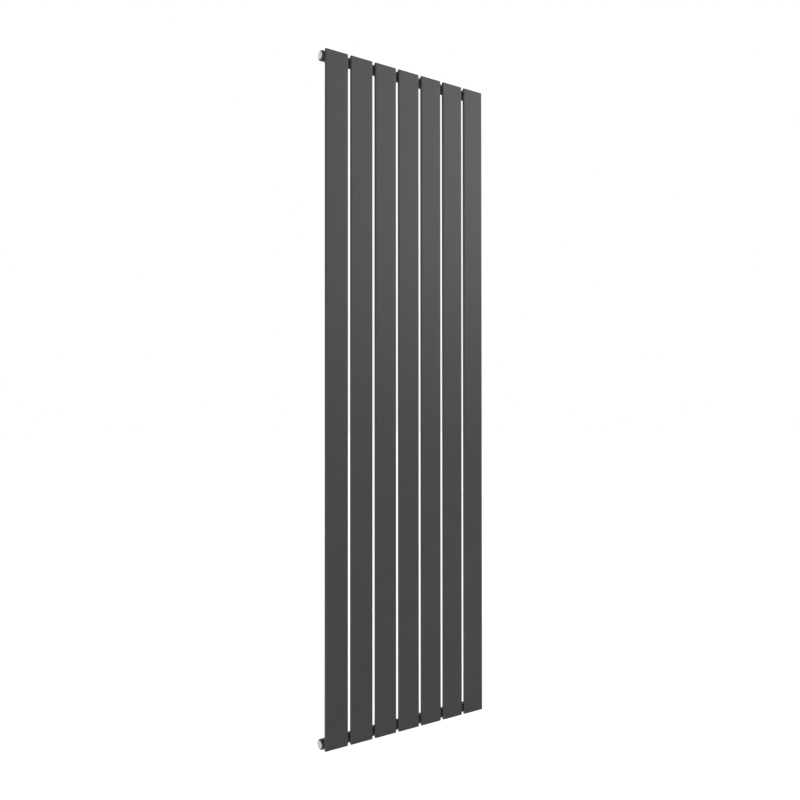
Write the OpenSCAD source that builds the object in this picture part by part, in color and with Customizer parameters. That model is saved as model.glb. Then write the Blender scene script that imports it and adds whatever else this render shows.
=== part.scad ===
// Wall-hung vertical radiator: flat steel tubes on two round headers.
// The wall is the plane Y = 0 and the room is towards -Y. The origin is the
// centre of the four wall fixings. All sizes are in millimetres.

/* [Flat tubes] */
// Overall height of the radiator
height = 1800; // [1200:50:2000]
// Width of one flat tube
tube_w = 70; // [60:1:74]
// Depth of one flat tube, front to back
tube_t = 7; // [7:0.5:11]
// Distance between the centres of neighbouring tubes
tube_pitch = 78; // [76:1:90]
// Radius of the tube's long edges
tube_edge_r = 3.2; // [3:0.1:3.4]
// Wall thickness of the flat tube
tube_wall = 1.5; // [1.2:0.1:2]
// Thickness of the plate that closes each tube end
end_plate_t = 3; // [2.6:0.1:5]
// Rounding of the end plate's outer edges
end_edge_r = 2.2; // [1:0.1:2.5]

/* [Headers] */
// Outer diameter of the header tubes
header_d = 26.9; // [25:0.1:30]
// Wall thickness of the header tubes
header_wall = 2; // [1.5:0.1:2.6]
// Gap between the flat tubes' backs and the header, filled by the collars
header_gap = 0.4; // [0.3:0.1:2]
// How far the header ends stand out beyond the outer tubes' edges
header_out = 3.1; // [3:0.1:30]
// Radius of the water hole from the header into each tube
water_hole_r = 6; // [4:0.5:7]
// Outer radius of the collar welded round each water hole
collar_r = 9; // [8.5:0.5:10]

/* [End bosses and plugs] */
// Length of the threaded end boss
boss_len = 15; // [13:0.5:20]
// Rounding of the boss's outer edge
boss_edge_r = 1.8; // [1:0.1:2.4]
// Length of a plug
plug_len = 10; // [9:0.5:11]
// Distance from the boss's outer face in to the plug's face
plug_set_in = 3.2; // [3:0.1:3.6]
// Radius of the chromed cover over each plug
cover_r = 10.2; // [9.8:0.1:10.5]
// How far a cover stands proud of the boss's face
cover_proud = 2.3; // [2:0.1:3]

/* [Wall brackets] */
// Distance from the wall to the front of the flat tubes
projection = 62; // [62:1:80]
// Distance of the brackets from the radiator's middle
bracket_x = 130; // [126:1:134]
// Distance from a hanging stud to its bracket's wall screw
fixing_drop = 36; // [34:1:60]
// Radius of the wall screw hole
fixing_hole_r = 4; // [3:0.25:4.5]
// Thickness of the bracket's steel sheet
bracket_sheet = 3; // [2.5:0.1:3]
// Width of the bracket
bracket_w = 36; // [34:1:37]
// Radius of the hanging stud's neck
stud_r = 5; // [4:0.1:5]
// Radius of the hanging stud's head
stud_head_r = 9; // [8.6:0.1:9.5]

/* [Hidden] */
$fn = 96;
eps = 0.01;

// Every flat tube is a node of its own, so their number is fixed
tube_count = 7;
// Bore of a G 1/2 thread at its crests, and shank of an M6 thread, both plain
port_r = 9.3155;
bleed_r = 2.95;

half_h = height / 2;
front_y = -projection;
tube_mid_y = front_y + tube_t / 2;
tube_back_y = front_y + tube_t;
first_tube_x = -tube_pitch * (tube_count - 1) / 2;
outer_x = tube_pitch * (tube_count - 1) / 2 + tube_w / 2;

header_r = header_d / 2;
header_y = tube_back_y + header_gap + header_r;
header_z = half_h - header_r;
boss_face_x = outer_x + header_out;
header_half = boss_face_x - boss_len;

// End plate's spigot: its length inside the tube and the play around it
spigot_l = 3;
spigot_play = 0.1;

// Play between a plug, screw or cover and the wall around it
thread_play = 0.05;
// Groove for an O-ring: depth into the plug or screw
seal_d = 1.5;
seal_groove_w = 2;
seal_from_face = 3;
bleed_seal_d = 1;
bleed_seal_play = 0.06;
bleed_seal_from_face = 3.6;
bleed_len = 8;
bleed_foot_play = 0.2;
bleed_head_h = 1.6;
bleed_head_r = 4;
bleed_head_play = 0.3;
bleed_head_lift = 0.2;
drive_slot_w = 1;
drive_slot_d = 1;
waterway_r = 1.5;
hex_key = 8;
cover_disc_t = 1.2;
cover_rim_t = 1;
cover_depth = 2.4;
cover_dome = 0.3;
cover_edge_r = 0.4;
cover_dome_steps = 6;

// Bracket: the sheet with the slot stands off the wall by the stud's head
liner_t = 1.5;
liner_lip = 2;
liner_lip_t = 0.8;
neck_play = 0.3;
slot_r = stud_r + neck_play + liner_t;
slot_sheet_y = -17.5;
stud_head_play = 0.5;
stud_head_y = slot_sheet_y + bracket_sheet + liner_lip_t + stud_head_play;
stud_head_t = 4;
slot_rise = 12;
bracket_below = 13;
plate_past_hole = 16;
bracket_corner_r = 4;

function tube_x(i) = first_tube_x + tube_pitch * (i - 1);

// Stud and bracket places: 1 and 2 at the top, 3 and 4 at the bottom
function stud_x(i) = i % 2 == 1 ? -bracket_x : bracket_x;
function stud_side(i) = i <= 2 ? 1 : -1;
function stud_z(i) = stud_side(i) * header_z;

// Points of a quarter arc about (cx, cy), from angle a0, counter-clockwise
function arc(cx, cy, r, a0, steps = 6) =
  [for (k = [0:steps]) [cx + r * cos(a0 + 90 * k / steps), cy + r * sin(a0 + 90 * k / steps)]];

// Rectangle with true round corners, centred on the origin
module round_rect(w, h, r) {
  square([w - 2 * r, h], center = true);
  square([w, h - 2 * r], center = true);
  for (sx = [-1, 1], sy = [-1, 1])
    translate([sx * (w / 2 - r), sy * (h / 2 - r)])
      circle(r);
}

// Lays a shape drawn about +Z along the X axis of a header, its base at the
// boss's outer face and +Z pointing out of the header; side is -1 left, 1 right
module at_port(side, level) {
  translate([side * boss_face_x, header_y, level * header_z])
    rotate([0, side * 90, 0])
      children();
}

module flat_tube(i) {
  color("#4a4b4d")
    difference() {
      translate([tube_x(i), tube_mid_y, end_plate_t - half_h])
        linear_extrude(height - 2 * end_plate_t)
          difference() {
            round_rect(tube_w, tube_t, tube_edge_r);
            round_rect(tube_w - 2 * tube_wall, tube_t - 2 * tube_wall, tube_edge_r - tube_wall);
          }
      for (level = [-1, 1])
        translate([tube_x(i), tube_mid_y, level * header_z])
          rotate([-90, 0, 0])
            cylinder(r = water_hole_r, h = tube_t);
    }
}

// Side view of the end plate: square below, two rounded corners on top
module end_profile(w) {
  polygon(concat(
    [[-w / 2, 0], [w / 2, 0]],
    arc(w / 2 - end_edge_r, end_plate_t - end_edge_r, end_edge_r, 0),
    arc(end_edge_r - w / 2, end_plate_t - end_edge_r, end_edge_r, 90)
  ));
}

// Plate that closes a tube end, rounded all round, with a locating spigot
module end_plate(i, level) {
  spigot_w = tube_w - 2 * tube_wall - 2 * spigot_play;
  spigot_t = tube_t - 2 * tube_wall - 2 * spigot_play;
  color("#4a4b4d")
    translate([tube_x(i), tube_mid_y, level * half_h])
      mirror([0, 0, level > 0 ? 0 : 1])
        translate([0, 0, -end_plate_t]) {
          intersection() {
            linear_extrude(end_plate_t)
              round_rect(tube_w, tube_t, tube_edge_r);
            translate([0, tube_t, 0])
              rotate([90, 0, 0])
                linear_extrude(2 * tube_t)
                  end_profile(tube_w);
            translate([-tube_w, 0, 0])
              rotate([90, 0, 90])
                linear_extrude(2 * tube_w)
                  end_profile(tube_t);
          }
          translate([0, 0, -spigot_l])
            linear_extrude(spigot_l + eps)
              round_rect(spigot_w, spigot_t, tube_edge_r - tube_wall - spigot_play);
        }
}

// Collar between a flat tube's back and the header, round the water hole
module collar(i, level) {
  color("#4a4b4d")
    difference() {
      translate([tube_x(i), tube_back_y, level * header_z])
        rotate([-90, 0, 0])
          cylinder(r = collar_r, h = header_r);
      translate([tube_x(i) - tube_w / 2, header_y, level * header_z])
        rotate([0, 90, 0])
          cylinder(r = header_r, h = tube_w);
      translate([tube_x(i), tube_back_y - 1, level * header_z])
        rotate([-90, 0, 0])
          cylinder(r = water_hole_r, h = header_r);
    }
}

module header(level) {
  color("#454648")
    difference() {
      translate([-header_half, header_y, level * header_z])
        rotate([0, 90, 0])
          difference() {
            cylinder(r = header_r, h = 2 * header_half);
            translate([0, 0, -1])
              cylinder(r = header_r - header_wall, h = 2 * header_half + 2);
          }
      for (i = [1:tube_count])
        translate([tube_x(i), tube_back_y, level * header_z])
          rotate([-90, 0, 0])
            cylinder(r = water_hole_r, h = header_r);
    }
}

// Threaded end boss, butt welded to the header tube
module boss(side, level) {
  color("#454648")
    at_port(side, level)
      rotate_extrude()
        polygon(concat(
          [[port_r, 0], [port_r, -boss_len], [header_r, -boss_len]],
          arc(header_r - boss_edge_r, -boss_edge_r, boss_edge_r, 0)
        ));
}

// Outside of a plug: shank with an O-ring groove near its outer face
module plug_blank() {
  shank_r = port_r - thread_play;
  translate([0, 0, -plug_set_in])
    difference() {
      translate([0, 0, -plug_len])
        cylinder(r = shank_r, h = plug_len);
      translate([0, 0, -seal_from_face - seal_groove_w])
        difference() {
          cylinder(r = shank_r + 1, h = seal_groove_w);
          translate([0, 0, -1])
            cylinder(r = shank_r - seal_d, h = seal_groove_w + 2);
        }
    }
}

module vent_plug() {
  color("#b9babb")
    at_port(-1, 1)
      difference() {
        plug_blank();
        translate([0, 0, -plug_set_in - bleed_len - bleed_foot_play])
          cylinder(r = bleed_r + thread_play, h = bleed_len + 1);
        translate([0, 0, -plug_set_in - plug_len - 1])
          cylinder(r = waterway_r, h = plug_len);
        translate([0, 0, -plug_set_in - bleed_head_h])
          cylinder(r = bleed_head_r + bleed_head_play, h = bleed_head_h + 1);
      }
}

module blanking_plug() {
  color("#b9babb")
    at_port(-1, -1)
      difference() {
        plug_blank();
        translate([0, 0, -plug_set_in - plug_len / 2])
          cylinder(r = hex_key / 2 / cos(30), h = plug_len, $fn = 6);
      }
}

module o_ring(outer_r, section_r) {
  rotate_extrude()
    translate([outer_r - section_r, 0])
      circle(section_r, $fn = 32);
}

module plug_seal(level) {
  color("#17181a")
    at_port(-1, level)
      translate([0, 0, -plug_set_in - seal_from_face - seal_groove_w / 2])
        o_ring(port_r - eps, (seal_d + thread_play) / 2 - eps);
}

module bleed_screw() {
  groove_r = bleed_r - bleed_seal_d;
  color("#c4a35a")
    at_port(-1, 1)
      translate([0, 0, -plug_set_in])
        difference() {
          union() {
            translate([0, 0, -bleed_len])
              cylinder(r = bleed_r, h = bleed_len);
            translate([0, 0, -bleed_head_h + bleed_head_lift])
              cylinder(r = bleed_head_r, h = bleed_head_h - bleed_head_lift);
          }
          translate([0, 0, -bleed_seal_from_face - bleed_seal_d / 2])
            difference() {
              cylinder(r = bleed_r + 1, h = bleed_seal_d);
              translate([0, 0, -1])
                cylinder(r = groove_r, h = bleed_seal_d + 2);
            }
          translate([-bleed_head_r - 1, -drive_slot_w / 2, -drive_slot_d])
            cube([2 * bleed_head_r + 2, drive_slot_w, drive_slot_d + 1]);
        }
}

module bleed_screw_seal() {
  section_r = bleed_seal_d / 2 - bleed_seal_play;
  color("#17181a")
    at_port(-1, 1)
      translate([0, 0, -plug_set_in - bleed_seal_from_face])
        o_ring(bleed_r + bleed_seal_play / 2, section_r);
}

// Push-in cover: a slightly domed disc with a thin skirt inside the port
module cover(level) {
  skirt_r = port_r - thread_play;
  flat_r = cover_r - cover_edge_r;
  rim_z = cover_proud - cover_dome - cover_edge_r;
  color("#c9cacb")
    at_port(-1, level)
      rotate_extrude()
        polygon(concat(
          [[0, cover_proud - cover_disc_t], [skirt_r - cover_rim_t, cover_proud - cover_disc_t]],
          [[skirt_r - cover_rim_t, -cover_depth], [skirt_r, -cover_depth], [skirt_r, 0]],
          [[cover_r, 0]],
          arc(flat_r, rim_z, cover_edge_r, 0),
          [for (k = [1:cover_dome_steps])
            let (u = 1 - k / cover_dome_steps)
              [u * flat_r, cover_proud - cover_dome * u * u]]
        ));
}

// Stud welded on the header's back; its head drops behind the bracket's slot
module hanging_stud(i) {
  color("#454648")
    difference() {
      translate([stud_x(i), header_y, stud_z(i)])
        rotate([-90, 0, 0]) {
          cylinder(r = stud_r, h = stud_head_y - header_y + eps);
          translate([0, 0, stud_head_y - header_y])
            cylinder(r = stud_head_r, h = stud_head_t);
        }
      translate([stud_x(i) - tube_w / 2, header_y, stud_z(i)])
        rotate([0, 90, 0])
          cylinder(r = header_r, h = tube_w);
    }
}

// U-shaped outline of the slot, open upwards
module slot_outline(r, rise) {
  circle(r);
  translate([-r, 0])
    square([2 * r, rise]);
}

// Stands a flat outline up, facing the room, with its back at plane y
module upright(y, t) {
  translate([0, y, 0])
    rotate([90, 0, 0])
      linear_extrude(t)
        children();
}

// Folded bracket: wall plate, two webs and the sheet with the slot
module wall_bracket(i) {
  drop = stud_side(i) * fixing_drop;
  plate_low = min(-bracket_below, -drop - plate_past_hole);
  plate_high = max(slot_rise, -drop + plate_past_hole);
  web_h = bracket_below + slot_rise;
  web_x = (bracket_w - bracket_sheet) / 2;
  color("#4d4e50")
    translate([stud_x(i), 0, stud_z(i)])
      difference() {
        union() {
          upright(0, bracket_sheet)
            translate([0, (plate_low + plate_high) / 2])
              round_rect(bracket_w, plate_high - plate_low, bracket_corner_r);
          upright(slot_sheet_y + bracket_sheet, bracket_sheet)
            translate([-bracket_w / 2, -bracket_below])
              square([bracket_w, web_h]);
          for (side = [-1, 1])
            translate([side * web_x - bracket_sheet / 2, slot_sheet_y + eps, -bracket_below])
              cube([bracket_sheet, -slot_sheet_y - 2 * eps, web_h]);
        }
        upright(slot_sheet_y + bracket_sheet + 1, bracket_sheet + 2)
          slot_outline(slot_r, slot_rise + 1);
        upright(1, bracket_sheet + 2)
          translate([0, -drop])
            circle(fixing_hole_r);
      }
}

// Plastic liner clipped over the slot's edge
module slot_liner() {
  inner_r = stud_r + neck_play;
  upright(slot_sheet_y + bracket_sheet, bracket_sheet)
    difference() {
      slot_outline(slot_r, slot_rise);
      slot_outline(inner_r, slot_rise + 1);
    }
  for (y = [slot_sheet_y, slot_sheet_y + bracket_sheet + liner_lip_t])
    upright(y, liner_lip_t)
      difference() {
        slot_outline(slot_r + liner_lip, slot_rise);
        slot_outline(inner_r, slot_rise + 1);
      }
}

module slot_liners() {
  color("#202124")
    for (i = [1:4])
      translate([stud_x(i), 0, stud_z(i)])
        slot_liner();
}

flat_tube(1);  // flat_tube_1
flat_tube(2);  // flat_tube_2
flat_tube(3);  // flat_tube_3
flat_tube(4);  // flat_tube_4
flat_tube(5);  // flat_tube_5
flat_tube(6);  // flat_tube_6
flat_tube(7);  // flat_tube_7
end_plate(1, 1);  // tube_top_end_1
end_plate(2, 1);  // tube_top_end_2
end_plate(3, 1);  // tube_top_end_3
end_plate(4, 1);  // tube_top_end_4
end_plate(5, 1);  // tube_top_end_5
end_plate(6, 1);  // tube_top_end_6
end_plate(7, 1);  // tube_top_end_7
end_plate(1, -1);  // tube_bottom_end_1
end_plate(2, -1);  // tube_bottom_end_2
end_plate(3, -1);  // tube_bottom_end_3
end_plate(4, -1);  // tube_bottom_end_4
end_plate(5, -1);  // tube_bottom_end_5
end_plate(6, -1);  // tube_bottom_end_6
end_plate(7, -1);  // tube_bottom_end_7
collar(1, 1);  // top_collar_1
collar(2, 1);  // top_collar_2
collar(3, 1);  // top_collar_3
collar(4, 1);  // top_collar_4
collar(5, 1);  // top_collar_5
collar(6, 1);  // top_collar_6
collar(7, 1);  // top_collar_7
collar(1, -1);  // bottom_collar_1
collar(2, -1);  // bottom_collar_2
collar(3, -1);  // bottom_collar_3
collar(4, -1);  // bottom_collar_4
collar(5, -1);  // bottom_collar_5
collar(6, -1);  // bottom_collar_6
collar(7, -1);  // bottom_collar_7
header(1);  // top_header
header(-1);  // bottom_header
boss(-1, 1);  // boss_top_left
boss(1, 1);  // boss_top_right
boss(-1, -1);  // boss_bottom_left
boss(1, -1);  // boss_bottom_right
vent_plug();
plug_seal(1);  // vent_plug_seal
bleed_screw();
bleed_screw_seal();
cover(1);  // vent_cover
blanking_plug();
plug_seal(-1);  // blanking_plug_seal
cover(-1);  // blanking_cover
hanging_stud(1);  // hanging_stud_1
hanging_stud(2);  // hanging_stud_2
hanging_stud(3);  // hanging_stud_3
hanging_stud(4);  // hanging_stud_4
wall_bracket(1);  // wall_bracket_1
wall_bracket(2);  // wall_bracket_2
wall_bracket(3);  // wall_bracket_3
wall_bracket(4);  // wall_bracket_4
slot_liners();
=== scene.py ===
"""Looks of the vertical flat tube radiator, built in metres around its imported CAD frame."""
import math

import bmesh
import bpy
from mathutils import Matrix, Vector, noise


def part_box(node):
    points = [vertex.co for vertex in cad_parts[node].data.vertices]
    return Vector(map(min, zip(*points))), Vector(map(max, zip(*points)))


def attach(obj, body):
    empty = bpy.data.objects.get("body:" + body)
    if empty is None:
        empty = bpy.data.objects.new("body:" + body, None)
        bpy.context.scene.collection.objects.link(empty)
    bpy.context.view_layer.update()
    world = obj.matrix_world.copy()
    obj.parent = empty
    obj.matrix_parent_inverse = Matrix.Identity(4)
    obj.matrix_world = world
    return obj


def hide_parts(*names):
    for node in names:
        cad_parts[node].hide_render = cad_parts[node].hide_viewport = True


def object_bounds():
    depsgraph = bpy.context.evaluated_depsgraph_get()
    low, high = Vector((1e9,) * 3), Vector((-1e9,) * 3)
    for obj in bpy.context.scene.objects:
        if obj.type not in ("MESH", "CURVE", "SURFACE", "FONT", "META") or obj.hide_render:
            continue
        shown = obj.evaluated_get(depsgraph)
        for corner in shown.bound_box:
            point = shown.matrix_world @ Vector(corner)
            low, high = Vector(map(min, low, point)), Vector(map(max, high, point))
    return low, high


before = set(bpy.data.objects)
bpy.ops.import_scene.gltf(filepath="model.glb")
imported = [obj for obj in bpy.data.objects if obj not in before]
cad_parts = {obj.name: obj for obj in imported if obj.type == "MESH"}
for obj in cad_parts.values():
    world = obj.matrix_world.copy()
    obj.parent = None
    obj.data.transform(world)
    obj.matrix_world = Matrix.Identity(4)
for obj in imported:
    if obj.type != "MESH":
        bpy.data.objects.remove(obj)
cad_low, cad_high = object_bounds()

MM = 0.001
TUBES = range(1, 8)
STUDS = range(1, 5)
LEVELS = ("top", "bottom")
SIDES = {-1: "left", 1: "right"}


# ---------------------------------------------------------------- frame sizes

def middle(node):
    """Centre of a CAD node's box."""
    low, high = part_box(node)
    return (low + high) / 2


def size(node):
    """Lengths of a CAD node's box."""
    low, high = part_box(node)
    return high - low


def header_of(i):
    """The header that stud and bracket i belong to: 1 and 2 at the top, 3 and 4 below."""
    return "top_header" if i <= 2 else "bottom_header"


# Headers
HEADER_R = size("top_header").z / 2
HEADER_HALF = size("top_header").x / 2
HEADER_WALL = 2 * MM
HEADER_CHAMFER = 0.3 * MM
HEADER_STEPS = 128

# Section of the flat tubes
TUBE_BACK_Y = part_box("flat_tube_1")[1].y
TUBE_EDGE_R = 3.2 * MM
TUBE_WALL = 1.5 * MM
END_PLATE_T = 3 * MM
END_EDGE_R = 2.2 * MM
END_EDGE_STEPS = 7
SPIGOT_PLAY = 0.1 * MM
SEAM_CHAMFER = 0.2 * MM
WATER_HOLE_R = 6 * MM

# G 1/2 thread of the ports: how steep its flanks and how flat its root are, its share of
# the full depth at the inner end, and its steps per turn
PORT_R = 9.3155 * MM
THREAD_DEPTH = 1.16 * MM
THREAD_PITCH = 1.814 * MM
THREAD_SLOPE = 2.4
THREAD_ROOT = 0.1
THREAD_FOOT_SHARE = 0.2
THREAD_STEPS = 8

# Bosses
BOSS_EDGE_R = 1.8 * MM
BOSS_MOUTH_CHAMFER = 0.15 * MM
BOSS_FOOT_CHAMFER = 0.3 * MM

# Covers
COVER_R = size("vent_cover").z / 2
COVER_PROUD = 2.3 * MM
COVER_DOME = 0.3 * MM
COVER_EDGE_R = 0.4 * MM
COVER_DISC_T = 1.2 * MM
COVER_SKIRT_T = 1 * MM
COVER_PLAY = 0.05 * MM
COVER_BACK_CHAMFER = 0.1 * MM
SKIRT_IN_CHAMFER = 0.15 * MM
SKIRT_LEAD_W = 0.25 * MM
SKIRT_LEAD_L = 0.3 * MM

# Brackets, studs and liners
CHANNEL_BELOW = middle("bottom_header").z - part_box("wall_bracket_3")[0].z
SLOT_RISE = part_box("wall_bracket_1")[1].z - middle("top_header").z
SHEET_T = 3 * MM
SHEET_BEND_R = 3.5 * MM
PLATE_CORNER_R = 4 * MM
PLATE_PAST_HOLE = 16 * MM
FIXING_R = 4 * MM
BRACKET_EDGE_R = 0.35 * MM
STUD_R = 5 * MM
STUD_HEAD_R = 9 * MM
STUD_HEAD_T = 4 * MM
STUD_FILLET = 0.4 * MM
STUD_CHAMFER = 0.6 * MM
STUD_STEPS = 64
NECK_PLAY = 0.3 * MM
LINER_T = 1.5 * MM
LINER_LIP = 2 * MM
LINER_LIP_T = 0.8 * MM
LINER_EDGE_R = 0.2 * MM

# Weld beads: radius of each kind, how far each lies off its joint, and the ripples as
# shares of the radius with their rate per step of the path
BEAD_TUBE_R = 0.8 * MM
BEAD_TUBE_OFF = 0.3 * MM
BEAD_TUBE_SUNK = 0.2 * MM
BEAD_HEADER_R = 0.9 * MM
BEAD_HEADER_OFF = 0.2 * MM
BEAD_STUD_R = 1.1 * MM
BEAD_STUD_OFF = 0.3 * MM
BEAD_STUD_STEPS = 40
BEAD_BRACKET_R = 1.2 * MM
BEAD_BRACKET_STEP = 0.7 * MM
RIPPLE = 0.12
RIPPLE_RATE = 2.4
UNEVEN = 0.25
UNEVEN_RATE = 0.4

# Tools: how far cutters reach past a surface, the steps round a drill and along a
# rounding, and the radius at which a turned profile closes round its axis
CUT_PAST = 1 * MM
SLOT_CUT_PAST = 5 * MM
DRILL_STEPS = 48
ROUND_STEPS = 8
AXIS_R = 0.01 * MM


# ------------------------------------------------------------------ materials

class Nodes:
    """A short way to wire up one procedural material."""

    def __init__(self, name):
        self.material = bpy.data.materials.new(name)
        self.material.use_nodes = True
        self.tree = self.material.node_tree
        self.shader = self.tree.nodes["Principled BSDF"]
        self.place = self.add("ShaderNodeTexCoord").outputs["Object"]

    def add(self, kind, **settings):
        """A new node with its settings."""
        node = self.tree.nodes.new(kind)
        for key, value in settings.items():
            setattr(node, key, value)
        return node

    def join(self, source, target):
        """A link from an output to an input."""
        self.tree.links.new(source, target)

    def noise(self, feature, detail=2.0, place=None):
        """Noise whose features are about that many metres across."""
        node = self.add("ShaderNodeTexNoise")
        node.inputs["Scale"].default_value = 1 / feature
        node.inputs["Detail"].default_value = detail
        self.join(self.place if place is None else place, node.inputs["Vector"])
        return node.outputs["Fac"]

    def spread(self, source, low, high):
        """Maps a 0.3 to 0.7 noise value onto low to high."""
        node = self.add("ShaderNodeMapRange")
        node.inputs["From Min"].default_value = 0.3
        node.inputs["From Max"].default_value = 0.7
        node.inputs["To Min"].default_value = low
        node.inputs["To Max"].default_value = high
        self.join(source, node.inputs["Value"])
        return node.outputs["Result"]

    def tint(self, source, low, high):
        """Colours between low and high, by a 0.3 to 0.7 noise value."""
        ramp = self.add("ShaderNodeValToRGB")
        ramp.color_ramp.elements[0].position = 0.3
        ramp.color_ramp.elements[1].position = 0.7
        ramp.color_ramp.elements[0].color = (*low, 1)
        ramp.color_ramp.elements[1].color = (*high, 1)
        self.join(source, ramp.inputs["Fac"])
        self.join(ramp.outputs["Color"], self.shader.inputs["Base Color"])

    def rough(self, source, low, high):
        """Roughness between low and high, by a 0.3 to 0.7 noise value."""
        self.join(self.spread(source, low, high), self.shader.inputs["Roughness"])

    def bump(self, source, height, strength=1.0, under=None):
        """A bump of that many metres, on top of an earlier bump."""
        node = self.add("ShaderNodeBump")
        node.inputs["Distance"].default_value = height
        node.inputs["Strength"].default_value = strength
        self.join(source, node.inputs["Height"])
        if under is not None:
            self.join(under, node.inputs["Normal"])
        self.join(node.outputs["Normal"], self.shader.inputs["Normal"])
        return node.outputs["Normal"]


def scaled(colour, factor):
    """A colour made darker or lighter."""
    return tuple(c * factor for c in colour)


# Powder coat: width of its cloudy patches, and width and height of its orange peel and grain
CLOUD = 60 * MM
PEEL = 2.4 * MM
PEEL_HEIGHT = 0.02 * MM
GRAIN = 0.45 * MM
GRAIN_HEIGHT = 0.008 * MM


def powder_coat(name, colour, roughness=0.34):
    """Satin powder coat: faint orange peel, fine grain and slight unevenness."""
    m = Nodes(name)
    m.tint(m.noise(CLOUD, 3), scaled(colour, 0.96), scaled(colour, 1.04))
    m.rough(m.noise(3 * MM, 3), roughness - 0.04, roughness + 0.04)
    peel = m.bump(m.noise(PEEL, 1), PEEL_HEIGHT)
    m.bump(m.noise(GRAIN, 2), GRAIN_HEIGHT, under=peel)
    return m.material


# Turned metal: spacing and depth of the tool's rings
RING = 0.12 * MM
RING_DEPTH = 0.003 * MM


def radius_about(m, centre):
    """Distance from the X axis through centre, as a node output."""
    offset = m.add("ShaderNodeVectorMath", operation="SUBTRACT")
    offset.inputs[1].default_value = centre
    m.join(m.place, offset.inputs[0])
    flat = m.add("ShaderNodeVectorMath", operation="MULTIPLY")
    flat.inputs[1].default_value = (0, 1, 1)
    m.join(offset.outputs["Vector"], flat.inputs[0])
    length = m.add("ShaderNodeVectorMath", operation="LENGTH")
    m.join(flat.outputs["Vector"], length.inputs[0])
    return length.outputs["Value"]


def spun_metal(name, colour, centre, roughness):
    """Metal faced on a lathe: fine rings about the X axis through centre."""
    m = Nodes(name)
    rings = m.add("ShaderNodeCombineXYZ")
    m.join(radius_about(m, centre), rings.inputs["X"])
    lines = m.noise(RING, 2, rings.outputs["Vector"])
    blotches = m.noise(4 * MM, 2)
    m.tint(blotches, scaled(colour, 0.97), colour)
    m.rough(blotches, roughness - 0.03, roughness + 0.05)
    m.bump(lines, RING_DEPTH, 0.6)
    m.shader.inputs["Metallic"].default_value = 1
    return m.material


def dull_solid(name, colour, roughness, grain):
    """Rubber or nylon: fine matt grain and a slight change of tone."""
    m = Nodes(name)
    m.tint(m.noise(8 * MM, 2), scaled(colour, 0.85), scaled(colour, 1.15))
    m.rough(m.noise(1.5 * MM, 2), roughness - 0.06, roughness + 0.06)
    m.bump(m.noise(grain, 2), 0.01 * MM)
    return m.material


TUBE_PAINT = powder_coat("tube_paint", (0.046, 0.0484, 0.0526))
HEADER_PAINT = powder_coat("header_paint", (0.042, 0.0444, 0.0484))
BRACKET_PAINT = powder_coat("bracket_paint", (0.044, 0.0464, 0.0505), 0.42)
NYLON = dull_solid("liner_nylon", (0.018, 0.018, 0.02), 0.55, 0.3 * MM)
RUBBER = dull_solid("seal_rubber", (0.012, 0.012, 0.013), 0.6, 0.2 * MM)
CHROME = {level: spun_metal(f"satin_chrome_{level}", (0.64, 0.645, 0.65), middle(node), 0.3)
          for level, node in (("top", "vent_cover"), ("bottom", "blanking_cover"))}
NICKEL = {level: spun_metal(f"plug_nickel_{level}", (0.5, 0.49, 0.47), middle(node), 0.34)
          for level, node in (("top", "vent_plug"), ("bottom", "blanking_plug"))}
BRASS = spun_metal("bleed_brass", (0.62, 0.44, 0.19), middle("bleed_screw"), 0.3)


# ---------------------------------------------------------------- mesh making

def loft(rings, loop=False):
    """A closed mesh through rings of points; loop joins the last ring to the first."""
    bm = bmesh.new()
    made = [[bm.verts.new(p) for p in ring] for ring in rings]
    pairs = list(zip(made, made[1:]))
    if loop:
        pairs.append((made[-1], made[0]))
    for a, b in pairs:
        for k in range(len(a)):
            n = (k + 1) % len(a)
            bm.faces.new((a[k], a[n], b[n], b[k]))
    if not loop:
        bm.faces.new(made[0][::-1])
        bm.faces.new(made[-1])
    bmesh.ops.recalc_face_normals(bm, faces=bm.faces)
    return bm


def lathe(profile, steps=96, loop=False):
    """Revolves (radius, height) points about +Z; radius may be a function of the angle."""
    def ring(r, z):
        turn = [2 * math.pi * k / steps for k in range(steps)]
        reach = [r(a) if callable(r) else r for a in turn]
        return [Vector((q * math.cos(a), q * math.sin(a), z)) for q, a in zip(reach, turn)]
    return loft([ring(r, z) for r, z in profile], loop)


def arc(cx, cy, r, start, end, steps=6):
    """Points of an arc in degrees."""
    turn = [math.radians(start + (end - start) * k / steps) for k in range(steps + 1)]
    return [(cx + r * math.cos(a), cy + r * math.sin(a)) for a in turn]


def rounded_outline(w, h, r, steps=6):
    """A rectangle with round corners, anticlockwise about the origin."""
    corners = ((1, 1, 0), (-1, 1, 90), (-1, -1, 180), (1, -1, 270))
    return [p for sx, sy, a in corners
            for p in arc(sx * (w / 2 - r), sy * (h / 2 - r), r, a, a + 90, steps)]


def laid(outline, z):
    """An outline in X and Y at height z."""
    return [Vector((x, y, z)) for x, y in outline]


def bead(path, r, closed=True, sides=8, seed=0.0):
    """A weld bead along a path, with the ripples that a weld pool leaves."""
    count = len(path)
    rings = []
    for k, p in enumerate(path):
        before = path[(k - 1) % count] if closed or k else p
        after = path[(k + 1) % count] if closed or k < count - 1 else p
        along = (after - before).normalized()
        side = along.orthogonal() if abs(along.y) > 0.9 else along.cross(Vector((0, 1, 0)))
        side.normalize()
        up = along.cross(side)
        bump = noise.noise(Vector((k * UNEVEN_RATE, seed, 0)))
        here = r * (1 + RIPPLE * math.sin(k * RIPPLE_RATE) + UNEVEN * bump)
        turn = [2 * math.pi * s / sides for s in range(sides)]
        rings.append([p + (side * math.cos(a) + up * math.sin(a)) * here for a in turn])
    return loft(rings, loop=closed)


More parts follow.
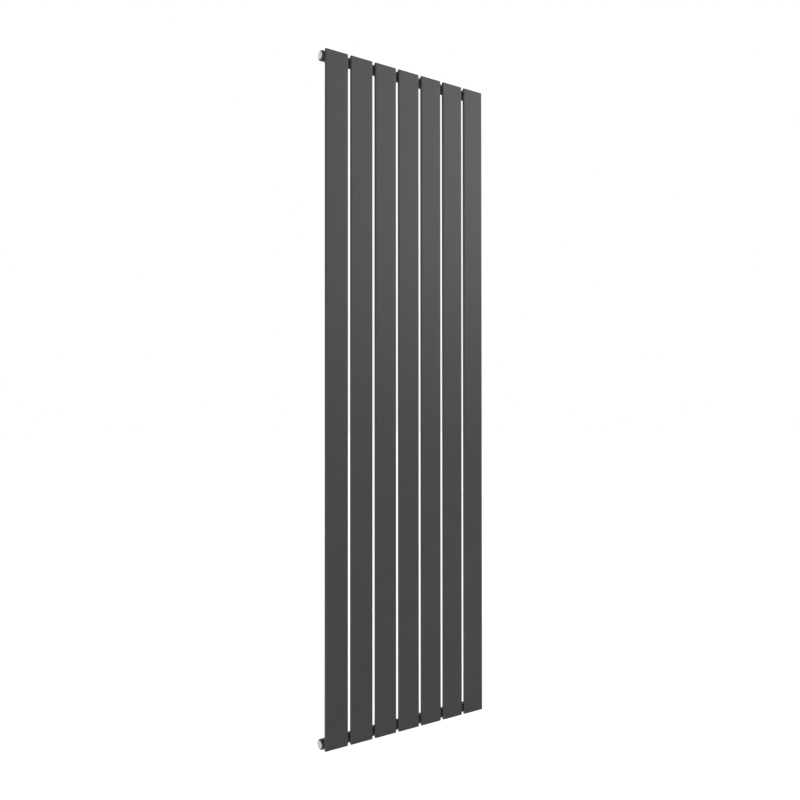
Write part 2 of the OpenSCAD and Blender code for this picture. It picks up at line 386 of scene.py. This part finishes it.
def cut(obj, cutters, operation="DIFFERENCE"):
    """Cuts meshes out of an object, or joins them to it, and removes them."""
    for bm in cutters:
        mesh = bpy.data.meshes.new("cutter")
        bm.to_mesh(mesh)
        bm.free()
        tool = bpy.data.objects.new("cutter", mesh)
        bpy.context.scene.collection.objects.link(tool)
        step = obj.modifiers.new("cut", "BOOLEAN")
        step.operation = operation
        step.solver = "EXACT"
        step.object = tool
        apply_modifiers(obj)
        bpy.data.objects.remove(tool)


def apply_modifiers(obj):
    """Replaces an object's mesh by its evaluated one."""
    graph = bpy.context.evaluated_depsgraph_get()
    mesh = bpy.data.meshes.new_from_object(obj.evaluated_get(graph))
    obj.modifiers.clear()
    old = obj.data
    obj.data = mesh
    bpy.data.meshes.remove(old)


def soften(obj, width, segments=2, angle=40):
    """Rounds an object's sharp edges."""
    step = obj.modifiers.new("round_edges", "BEVEL")
    step.width = width
    step.segments = segments
    step.limit_method = "ANGLE"
    step.angle_limit = math.radians(angle)


def shade(obj, sharp=32):
    """Smooth shading with sharp edges kept, and flat faces that stay flat."""
    bm = bmesh.new()
    bm.from_mesh(obj.data)
    for face in bm.faces:
        face.smooth = True
    for edge in bm.edges:
        edge.smooth = edge.is_manifold and edge.calc_face_angle(0) < math.radians(sharp)
    bm.to_mesh(obj.data)
    bm.free()
    step = obj.modifiers.new("flat_faces", "WEIGHTED_NORMAL")
    step.keep_sharp = True


def piece(name, bm, material, body="radiator", stands_for=(), at=None, shaded=True):
    """Makes a mesh a piece of the object, riding on a body; unshaded where cuts follow."""
    if at is not None:
        bm.transform(at)
    mesh = bpy.data.meshes.new(name)
    bm.to_mesh(mesh)
    bm.free()
    obj = bpy.data.objects.new(name, mesh)
    bpy.context.scene.collection.objects.link(obj)
    mesh.materials.append(material)
    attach(obj, body)
    if stands_for:
        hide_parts(*stands_for)
    if shaded:
        shade(obj)
    return obj


def along_x(x, y, z, side=1):
    """Turns +Z to the right, or to the left for side -1, and moves to a point."""
    return Matrix.Translation((x, y, z)) @ Matrix.Rotation(side * math.pi / 2, 4, "Y")


def along_y(x, y, z):
    """Turns +Z to +Y, towards the wall, and moves to a point."""
    return Matrix.Translation((x, y, z)) @ Matrix.Rotation(-math.pi / 2, 4, "X")


def drill(r, start, end, x, y, z):
    """A cylinder along Y that reaches from start to end, counted from a point."""
    bm = lathe([(r, start), (r, end)], DRILL_STEPS)
    bm.transform(along_y(x, y, z))
    return bm


# ------------------------------------------------------------------ flat tubes

def flat_tube(i):
    """Hollow flat tube, its cut ends lightly chamfered where the end plates meet it."""
    node = f"flat_tube_{i}"
    centre = middle(node)
    w, t, length = size(node)
    half = length / 2
    outer = rounded_outline(w, t, TUBE_EDGE_R)
    seam = rounded_outline(w - 2 * SEAM_CHAMFER, t - 2 * SEAM_CHAMFER, TUBE_EDGE_R - SEAM_CHAMFER)
    inner = rounded_outline(w - 2 * TUBE_WALL, t - 2 * TUBE_WALL, TUBE_EDGE_R - TUBE_WALL)
    rings = [laid(seam, -half), laid(outer, SEAM_CHAMFER - half), laid(outer, half - SEAM_CHAMFER),
             laid(seam, half), laid(inner, half), laid(inner, -half)]
    tube = piece(f"tube_{i}", loft(rings, loop=True), TUBE_PAINT,
                 stands_for=[node], at=Matrix.Translation(centre), shaded=False)
    hole_z = middle("top_header").z
    cut(tube, [drill(WATER_HOLE_R, 0, t, centre.x, centre.y, z) for z in (-hole_z, hole_z)])
    shade(tube)


def end_plate(i, level):
    """Closing plate of a tube end: rounded outside, spigot inside."""
    node = f"tube_{level}_end_{i}"
    low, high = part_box(node)
    w, t = high.x - low.x, high.y - low.y
    spigot_in = TUBE_WALL + SPIGOT_PLAY
    spigot = rounded_outline(w - 2 * spigot_in, t - 2 * spigot_in, TUBE_EDGE_R - spigot_in)

    def inset(d):
        return rounded_outline(w - 2 * d, t - 2 * d, TUBE_EDGE_R - d)

    rings = [laid(spigot, -(high.z - low.z - END_PLATE_T)), laid(spigot, 0),
             laid(inset(SEAM_CHAMFER), 0), laid(inset(0), SEAM_CHAMFER)]
    shoulder = END_PLATE_T - END_EDGE_R
    for out, up in arc(0, 0, END_EDGE_R, 0, 90, END_EDGE_STEPS):
        rings.append(laid(inset(END_EDGE_R - out), shoulder + up))
    turn = Matrix.Identity(4) if level == "top" else Matrix.Rotation(math.pi, 4, "X")
    base_z = high.z - END_PLATE_T if level == "top" else low.z + END_PLATE_T
    at = Matrix.Translation(((low.x + high.x) / 2, (low.y + high.y) / 2, base_z)) @ turn
    piece(f"end_plate_{level}_{i}", loft(rings), TUBE_PAINT,
          stands_for=[node], at=at)


def saddle(centre, r, y_of, count=56):
    """A ring about a Y axis whose depth follows y_of(height above the centre)."""
    turn = [2 * math.pi * k / count for k in range(count)]
    return [Vector((centre.x + r * math.cos(a), y_of(r * math.sin(a)), centre.z + r * math.sin(a)))
            for a in turn]


def header_depth(centre, side):
    """Depth of the header's front, side -1, or back, side 1, at a height off its axis."""
    return lambda z: centre.y + side * math.sqrt(HEADER_R ** 2 - z ** 2)


def collar_welds(i, level):
    """Weld beads that join a collar to its tube and to the header."""
    x = middle(f"{level}_collar_{i}").x
    r = size(f"{level}_collar_{i}").x / 2
    axis = middle(f"{level}_header")
    centre = Vector((x, axis.y, axis.z))
    seed = i + 10 * LEVELS.index(level)
    at_tube = saddle(centre, r + BEAD_TUBE_OFF, lambda z: TUBE_BACK_Y + BEAD_TUBE_SUNK)
    piece(f"weld_tube_{level}_{i}", bead(at_tube, BEAD_TUBE_R, seed=seed), HEADER_PAINT)
    at_header = saddle(centre, r + BEAD_HEADER_OFF, header_depth(centre, -1))
    piece(f"weld_header_{level}_{i}", bead(at_header, BEAD_HEADER_R, seed=seed + 0.5),
          HEADER_PAINT)


# --------------------------------------------------------- headers and bosses

def thread_radius(z, length):
    """Radius of the internal G 1/2 thread round the angle, fading out at both ends."""
    fade = min(1, -z / THREAD_PITCH, (z + length) / THREAD_PITCH + THREAD_FOOT_SHARE)
    depth = THREAD_DEPTH * max(0, fade)

    def reach(angle):
        phase = (z / THREAD_PITCH - angle / (2 * math.pi)) % 1
        flank = min(1, max(0, THREAD_SLOPE * abs(phase - 0.5) - THREAD_ROOT))
        return PORT_R + depth * (1 - flank)
    return reach


def boss(side, level):
    """Threaded end boss with a rounded outer edge."""
    node = f"boss_{level}_{SIDES[side]}"
    low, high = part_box(node)
    centre = middle(node)
    length = high.x - low.x
    r = (high.z - low.z) / 2
    count = THREAD_STEPS * int(length / THREAD_PITCH)
    heights = [-length + length * k / count for k in range(count + 1)]
    bore = [(thread_radius(z, length), z) for z in heights]
    outside = [(PORT_R + BOSS_MOUTH_CHAMFER, 0),
               *arc(r - BOSS_EDGE_R, -BOSS_EDGE_R, BOSS_EDGE_R, 90, 0, ROUND_STEPS),
               (r, -length + BOSS_FOOT_CHAMFER), (r - BOSS_FOOT_CHAMFER, -length)]
    face_x = low.x if side < 0 else high.x
    piece(f"{node}_threaded", lathe(bore + outside, loop=True), HEADER_PAINT,
          stands_for=[node], at=along_x(face_x, centre.y, centre.z, side))


def header(level):
    """Header tube with its water holes, lightly chamfered at the boss welds."""
    centre = middle(f"{level}_header")
    inner_r = HEADER_R - HEADER_WALL
    end_r = HEADER_R - HEADER_CHAMFER
    profile = [(inner_r, -HEADER_HALF), (end_r, -HEADER_HALF),
               (HEADER_R, HEADER_CHAMFER - HEADER_HALF), (HEADER_R, HEADER_HALF - HEADER_CHAMFER),
               (end_r, HEADER_HALF), (inner_r, HEADER_HALF)]
    tube = piece(f"header_{level}", lathe(profile, HEADER_STEPS, loop=True), HEADER_PAINT,
                 stands_for=[f"{level}_header"],
                 at=along_x(centre.x, centre.y, centre.z), shaded=False)
    cut(tube, [drill(WATER_HOLE_R, -HEADER_R - CUT_PAST, 0, middle(f"flat_tube_{i}").x,
                     centre.y, centre.z) for i in TUBES])
    shade(tube)


def cover(level, body):
    """Push-in cover: slightly domed face, rounded rim and thin skirt."""
    low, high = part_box(body)
    skirt_r = PORT_R - COVER_PLAY
    skirt_end = COVER_PROUD - (high.x - low.x)
    inner_r = skirt_r - COVER_SKIRT_T
    disc_z = COVER_PROUD - COVER_DISC_T
    rim_z = COVER_PROUD - COVER_DOME - COVER_EDGE_R
    flat_r = COVER_R - COVER_EDGE_R
    dome = [(flat_r * u, COVER_PROUD - COVER_DOME * u * u)
            for u in (1 - k / 10 for k in range(1, 10))]
    profile = [(AXIS_R, disc_z), (inner_r, disc_z), (inner_r, skirt_end + SKIRT_IN_CHAMFER),
               (inner_r + SKIRT_IN_CHAMFER, skirt_end), (skirt_r - SKIRT_LEAD_W, skirt_end),
               (skirt_r, skirt_end + SKIRT_LEAD_L), (skirt_r, 0),
               (COVER_R - COVER_BACK_CHAMFER, 0), (COVER_R, COVER_BACK_CHAMFER),
               *arc(flat_r, rim_z, COVER_EDGE_R, 0, 90, ROUND_STEPS),
               *dome, (AXIS_R, COVER_PROUD)]
    centre = middle(body)
    piece(f"{body}_cap", lathe(profile), CHROME[level], body=body,
          stands_for=[body], at=along_x(low.x + COVER_PROUD, centre.y, centre.z, -1))


# ------------------------------------------------------------ studs, brackets

def stud(i):
    """Hanging stud: turned neck and head, welded on the header's back."""
    node = f"hanging_stud_{i}"
    axis = middle(header_of(i))
    x = middle(node).x
    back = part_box(node)[1].y
    head = back - STUD_HEAD_T
    face_r = STUD_HEAD_R - STUD_CHAMFER
    profile = [(AXIS_R, axis.y), (STUD_R, axis.y), (STUD_R, head - STUD_FILLET),
               (STUD_R + STUD_FILLET, head), (face_r, head),
               (STUD_HEAD_R, head + STUD_CHAMFER), (STUD_HEAD_R, back - STUD_CHAMFER),
               (face_r, back), (AXIS_R, back)]
    piece(f"stud_{i}", lathe(profile, STUD_STEPS), HEADER_PAINT,
          stands_for=[node], at=along_y(x, 0, axis.z))
    centre = Vector((x, axis.y, axis.z))
    weld = saddle(centre, STUD_R + BEAD_STUD_OFF, header_depth(centre, 1), BEAD_STUD_STEPS)
    piece(f"weld_stud_{i}", bead(weld, BEAD_STUD_R, seed=30 + i), HEADER_PAINT)


def slot_path(r, rise, steps=24):
    """Half ring and two legs of a slot that is open upwards, from left to right."""
    return [(-r, rise), *arc(0, 0, r, 180, 360, steps), (r, rise)]


def upright(outline, y, x=0.0, z=0.0):
    """An outline in X and Z at depth y."""
    return [Vector((x + p, y, z + q)) for p, q in outline]


def channel_outline(w, front_y, back_y):
    """Section of the folded sheet in X and Y: two webs and a front, bent round."""
    outer = SHEET_BEND_R
    inner = SHEET_BEND_R - SHEET_T
    left, right = -w / 2, w / 2
    outside = [(left, back_y), *arc(left + outer, front_y + outer, outer, 180, 270),
               *arc(right - outer, front_y + outer, outer, 270, 360), (right, back_y)]
    inside = [(right - SHEET_T, back_y), *arc(right - outer, front_y + outer, inner, 360, 270),
              *arc(left + outer, front_y + outer, inner, 270, 180), (left + SHEET_T, back_y)]
    return outside + inside


def bracket(i):
    """Folded bracket: wall plate with its screw hole and the slotted channel."""
    node = f"wall_bracket_{i}"
    low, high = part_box(node)
    x = (low.x + high.x) / 2
    w = high.x - low.x
    stud_z = middle(header_of(i)).z
    channel_low, channel_high = stud_z - CHANNEL_BELOW, stud_z + SLOT_RISE
    outline = channel_outline(w, low.y, -SHEET_T / 2)
    channel = loft([[Vector((x + p, q, z)) for p, q in outline]
                    for z in (channel_low, channel_high)])
    obj = piece(f"bracket_{i}", channel, BRACKET_PAINT, body="brackets",
                stands_for=[node], shaded=False)
    plate_outline = rounded_outline(w, high.z - low.z, PLATE_CORNER_R, ROUND_STEPS)
    plate = loft([upright(plate_outline, y, x, (low.z + high.z) / 2) for y in (-SHEET_T, 0)])
    cut(obj, [plate], "UNION")
    slot_r = STUD_R + NECK_PLAY + LINER_T
    gap = loft([upright(slot_path(slot_r, SLOT_RISE + SLOT_CUT_PAST), y, x, stud_z)
                for y in (low.y - CUT_PAST, low.y + SHEET_T + CUT_PAST)])
    is_top = stud_z > 0
    hole_z = low.z + PLATE_PAST_HOLE if is_top else high.z - PLATE_PAST_HOLE
    cut(obj, [gap, drill(FIXING_R, -2 * SHEET_T, SHEET_T, x, 0, hole_z)])
    soften(obj, BRACKET_EDGE_R)
    apply_modifiers(obj)
    shade(obj)
    # The welds inside the channel stop two and a half steps short of its ends
    steps = int((channel_high - channel_low) / BEAD_BRACKET_STEP) - 4
    for side, side_name in SIDES.items():
        weld_x = x + side * (w / 2 - SHEET_T)
        path = [Vector((weld_x, -SHEET_T, channel_low + (k + 2.5) * BEAD_BRACKET_STEP))
                for k in range(steps)]
        piece(f"weld_bracket_{i}_{side_name}",
              bead(path, BEAD_BRACKET_R, closed=False, seed=40 + i), BRACKET_PAINT,
              body="brackets")


def liners():
    """The four plastic liners, clipped over the slots' edges."""
    low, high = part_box("slot_liners")
    inner_r = STUD_R + NECK_PLAY

    def outline(outer_r):
        return slot_path(outer_r, SLOT_RISE) + slot_path(inner_r, SLOT_RISE)[::-1]

    lip, trunk = outline(inner_r + LINER_T + LINER_LIP), outline(inner_r + LINER_T)
    steps = [(lip, low.y), (lip, low.y + LINER_LIP_T), (trunk, low.y + LINER_LIP_T),
             (trunk, high.y - LINER_LIP_T), (lip, high.y - LINER_LIP_T), (lip, high.y)]
    joined = bmesh.new()
    for i in STUDS:
        x, z = middle(f"hanging_stud_{i}").x, middle(header_of(i)).z
        bm = loft([upright(shape, y, x, z) for shape, y in steps])
        mesh = bpy.data.meshes.new("liner")
        bm.to_mesh(mesh)
        bm.free()
        joined.from_mesh(mesh)
        bpy.data.meshes.remove(mesh)
    obj = piece("liners", joined, NYLON, body="brackets",
                stands_for=["slot_liners"], shaded=False)
    soften(obj, LINER_EDGE_R)
    apply_modifiers(obj)
    shade(obj)


# --------------------------------------------------------------- carried nodes

def dress(node, material):
    """Gives a carried-over CAD node its material."""
    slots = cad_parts[node].data.materials
    slots.clear()
    slots.append(material)


# -------------------------------------------------------------------- the stage

# Floor: how far it lies below the radiator, half its width, its thickness, and the glow
# that shows it as plain white
FLOOR_DROP = 0.15
FLOOR_HALF = 30.0
FLOOR_T = 0.05
FLOOR_GLOW = 0.59


def floor():
    """Plain pale floor a little below the hanging radiator."""
    z = cad_low.z - FLOOR_DROP
    bm = loft([[Vector((sx * FLOOR_HALF, sy * FLOOR_HALF, z - d))
                for sx, sy in ((-1, -1), (1, -1), (1, 1), (-1, 1))] for d in (FLOOR_T, 0)])
    mesh = bpy.data.meshes.new("floor")
    bm.to_mesh(mesh)
    bm.free()
    obj = bpy.data.objects.new("floor", mesh)
    bpy.context.scene.collection.objects.link(obj)
    m = Nodes("pale_floor")
    m.tint(m.noise(0.4, 2), (0.93, 0.93, 0.93), (0.95, 0.95, 0.95))
    m.shader.inputs["Roughness"].default_value = 0.9
    m.shader.inputs["Specular IOR Level"].default_value = 0
    m.shader.inputs["Emission Color"].default_value = (1, 1, 1, 1)
    m.shader.inputs["Emission Strength"].default_value = FLOOR_GLOW
    mesh.materials.append(m.material)
    obj.visible_glossy = False


# Soft lights round the room, each as bearing from the front towards the right, height,
# sharpness and strength: broad fill from low on the left and from the front, three from
# high on the right for the sheen on the faces, two small ones on the right just above
# and below the horizon, and two weaker ones from behind
LIGHTS = ((-90, -35, 3, 1.43), (-20, -10, 3, 0.67), (30, 25, 16, 0.82), (60, 20, 40, 3.0),
          (80, 30, 16, 2.3), (40, 10, 150, 1.3), (48, -14, 150, 1.0), (-160, 10, 6, 1.1),
          (140, 30, 4, 0.5))


def room_light():
    """White room to the eye, with a few soft lights round it."""
    world = bpy.data.worlds.new("room")
    world.use_nodes = True
    bpy.context.scene.world = world
    nodes, links = world.node_tree.nodes, world.node_tree.links
    nodes.clear()

    def scale_add(source, factor, addend):
        """A node for source * factor + addend."""
        node = nodes.new("ShaderNodeMath")
        node.operation = "MULTIPLY_ADD"
        node.inputs[1].default_value = factor
        node.inputs[2].default_value = addend
        links.new(source, node.inputs[0])
        return node

    place = nodes.new("ShaderNodeTexCoord").outputs["Generated"]
    lit = nodes.new("ShaderNodeBackground")
    total = None
    for bearing, height, sharp, strength in LIGHTS:
        turn, up = math.radians(bearing), math.radians(height)
        facing = nodes.new("ShaderNodeVectorMath")
        facing.operation = "DOT_PRODUCT"
        facing.inputs[1].default_value = (math.sin(turn) * math.cos(up),
                                          -math.cos(turn) * math.cos(up), math.sin(up))
        links.new(place, facing.inputs[0])
        fall = scale_add(facing.outputs["Value"], sharp, -sharp)
        glow = nodes.new("ShaderNodeMath")
        glow.operation = "EXPONENT"
        links.new(fall.outputs["Value"], glow.inputs[0])
        level = scale_add(glow.outputs["Value"], strength, 0)
        if total is not None:
            links.new(total, level.inputs[2])
        total = level.outputs["Value"]
    links.new(total, lit.inputs["Strength"])
    seen = nodes.new("ShaderNodeBackground")
    ray = nodes.new("ShaderNodeLightPath")
    mix = nodes.new("ShaderNodeMixShader")
    links.new(ray.outputs["Is Camera Ray"], mix.inputs["Fac"])
    links.new(lit.outputs["Background"], mix.inputs[1])
    links.new(seen.outputs["Background"], mix.inputs[2])
    out = nodes.new("ShaderNodeOutputWorld")
    links.new(mix.outputs["Shader"], out.inputs["Surface"])
    for background in (lit, seen):
        background.inputs["Color"].default_value = (1, 1, 1, 1)


# The camera stands to the left in front of the radiator, near its mid height
CAMERA_PLACE = Vector((-1.3777, -1.8475, -0.034))
CAMERA_TURN = math.radians(34.273)
CAMERA_RISE = math.radians(0.535)
LENS = 37.01
SHIFT_X = 0.0493
SHIFT_Y = 0.00517


def camera():
    """Puts the camera where the photograph was taken from."""
    data = bpy.data.cameras.new("camera")
    data.lens = LENS
    data.shift_x = SHIFT_X
    data.shift_y = SHIFT_Y
    obj = bpy.data.objects.new("camera", data)
    obj.location = CAMERA_PLACE
    obj.rotation_euler = (math.pi / 2 + CAMERA_RISE, 0, -CAMERA_TURN)
    bpy.context.scene.collection.objects.link(obj)
    bpy.context.scene.camera = obj


# --------------------------------------------------------------- put together

camera()
room_light()
floor()
bpy.context.scene.view_settings.view_transform = "Standard"

for i in TUBES:
    flat_tube(i)
    for level in LEVELS:
        end_plate(i, level)
        collar_welds(i, level)
        dress(f"{level}_collar_{i}", HEADER_PAINT)
for level in LEVELS:
    header(level)
    for side in SIDES:
        boss(side, level)
cover("top", "vent_cover")
cover("bottom", "blanking_cover")
dress("vent_plug", NICKEL["top"])
dress("blanking_plug", NICKEL["bottom"])
dress("bleed_screw", BRASS)
for node in ("vent_plug_seal", "blanking_plug_seal", "bleed_screw_seal"):
    dress(node, RUBBER)
for i in STUDS:
    stud(i)
    bracket(i)
liners()
